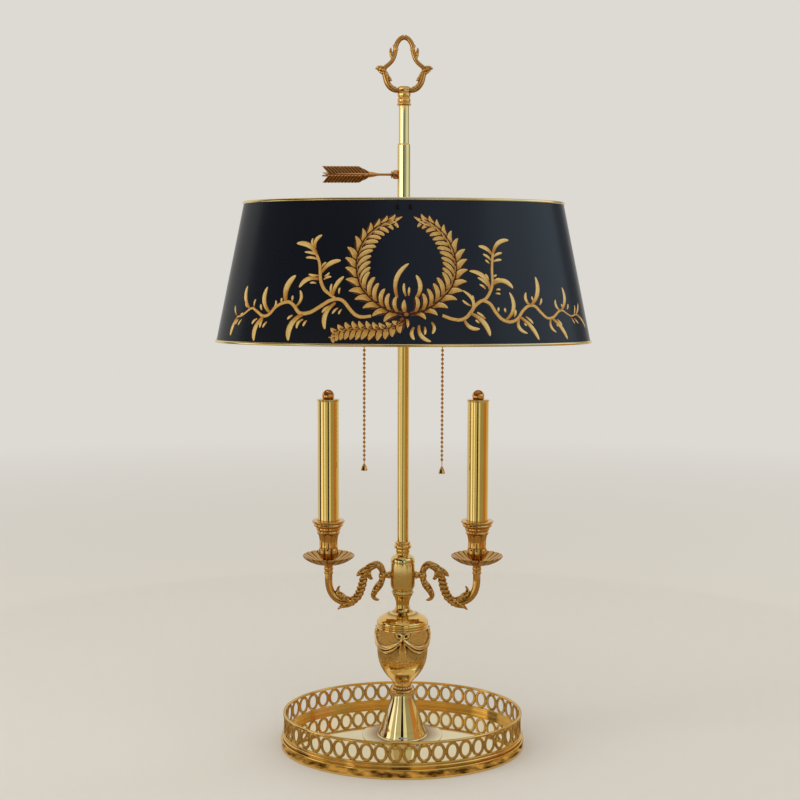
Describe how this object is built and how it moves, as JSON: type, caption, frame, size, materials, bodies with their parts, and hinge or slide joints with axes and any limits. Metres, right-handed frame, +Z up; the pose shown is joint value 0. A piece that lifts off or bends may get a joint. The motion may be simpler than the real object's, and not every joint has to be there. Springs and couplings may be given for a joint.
{
  "type": "table lamp",
  "caption": "Brass table lamp with a galleried oval tray, urn stem, fixed candle arms, pull-chain lampholders and an oval shade that slides on its rod.",
  "frame": {"origin": "middle of the tray's underside, on the surface that the lamp stands on", "axes": "+Z up along the column, +X along the tray's length and the arms, -Y towards the viewer of the front"},
  "size_m": [0.384, 0.194, 0.7295],
  "materials": {
    "polished_brass": "turned and polished brass",
    "cast_brass": "cast and polished brass",
    "antique_brass": "brown patinated cast brass",
    "black_tole": "satin black enamel with gold painted ornament",
    "black_screw": "blackened steel",
    "zinc_steel": "zinc plated steel",
    "phenolic": "moulded phenolic",
    "clear_glass": "thin blown glass",
    "lamp_cap_metal": "rolled aluminium thread",
    "felt": "pressed wool felt",
    "bush_plastic": "moulded nylon"
  },
  "bodies": {
    "stand": {"base_tray": "polished_brass", "base_felt": "felt", "cord_bush": "bush_plastic", "gallery_foot_rail": "cast_brass", "gallery_frieze": "cast_brass", "gallery_top_rail": "cast_brass", "trumpet_foot": "polished_brass", "beaded_collar": "cast_brass", "urn_body": "cast_brass", "urn_lid": "cast_brass", "arm_hub": "polished_brass", "column_ferrule": "cast_brass", "column_tube": "polished_brass", "tie_pipe": "zinc_steel", "base_washer": "zinc_steel", "base_nut": "zinc_steel", "candle_rods": "zinc_steel", "cluster_body": "polished_brass", "top_rod": "polished_brass", "finial_collar": "cast_brass", "ring_finial": "cast_brass", "arm_left": "cast_brass", "drip_pan_left": "cast_brass", "candle_cup_left": "cast_brass", "candle_tube_left": "polished_brass", "candle_cap_left": "polished_brass", "candle_ball_left": "antique_brass", "socket_cap_left": "polished_brass", "socket_shell_left": "polished_brass", "socket_insulator_left": "phenolic", "chain_guide_left": "polished_brass", "bulb_base_left": "lamp_cap_metal", "bulb_glass_left": "clear_glass", "arm_right": "cast_brass", "drip_pan_right": "cast_brass", "candle_cup_right": "cast_brass", "candle_tube_right": "polished_brass", "candle_cap_right": "polished_brass", "candle_ball_right": "antique_brass", "socket_cap_right": "polished_brass", "socket_shell_right": "polished_brass", "socket_insulator_right": "phenolic", "chain_guide_right": "polished_brass", "bulb_base_right": "lamp_cap_metal", "bulb_glass_right": "clear_glass"},
    "sleeve": {"shade_sleeve": "polished_brass", "crossbar_nut": "polished_brass", "sleeve_boss": "antique_brass"},
    "shade": {"shade_panel": "black_tole", "shade_top_rim": "polished_brass", "shade_bottom_rim": "polished_brass", "shade_crossbar": "polished_brass", "crossbar_screws": "black_screw"},
    "arrow_screw": {"arrow_shaft": "antique_brass", "arrow_fletching": "antique_brass"},
    "pull_chain_left": {"pull_chain_left": "cast_brass", "pull_bell_left": "cast_brass"},
    "pull_chain_right": {"pull_chain_right": "cast_brass", "pull_bell_right": "cast_brass"}
  },
  "joints": [
    {"name": "shade_height", "type": "slide", "parent": "stand", "child": "sleeve", "axis": [0, 0, 1], "range_m": [-0.055, 0.036]},
    {"name": "shade_turn", "type": "hinge", "parent": "sleeve", "child": "shade", "pos_m": [0, 0, 0.555], "axis": [0, 0, 1], "range_deg": [-20, 20]},
    {"name": "arrow_turn", "type": "hinge", "parent": "sleeve", "child": "arrow_screw", "pos_m": [-0.0115, 0, 0.592], "axis": [-1, 0, 0], "range_deg": [0, 315]},
    {"name": "pull_left", "type": "slide", "parent": "stand", "child": "pull_chain_left", "axis": [0, 0, -1], "range_m": [0, 0.012], "stiffness_N_per_m": 250, "springref_m": -0.002},
    {"name": "pull_right", "type": "slide", "parent": "stand", "child": "pull_chain_right", "axis": [0, 0, -1], "range_m": [0, 0.012], "stiffness_N_per_m": 250, "springref_m": -0.002}
  ]
}
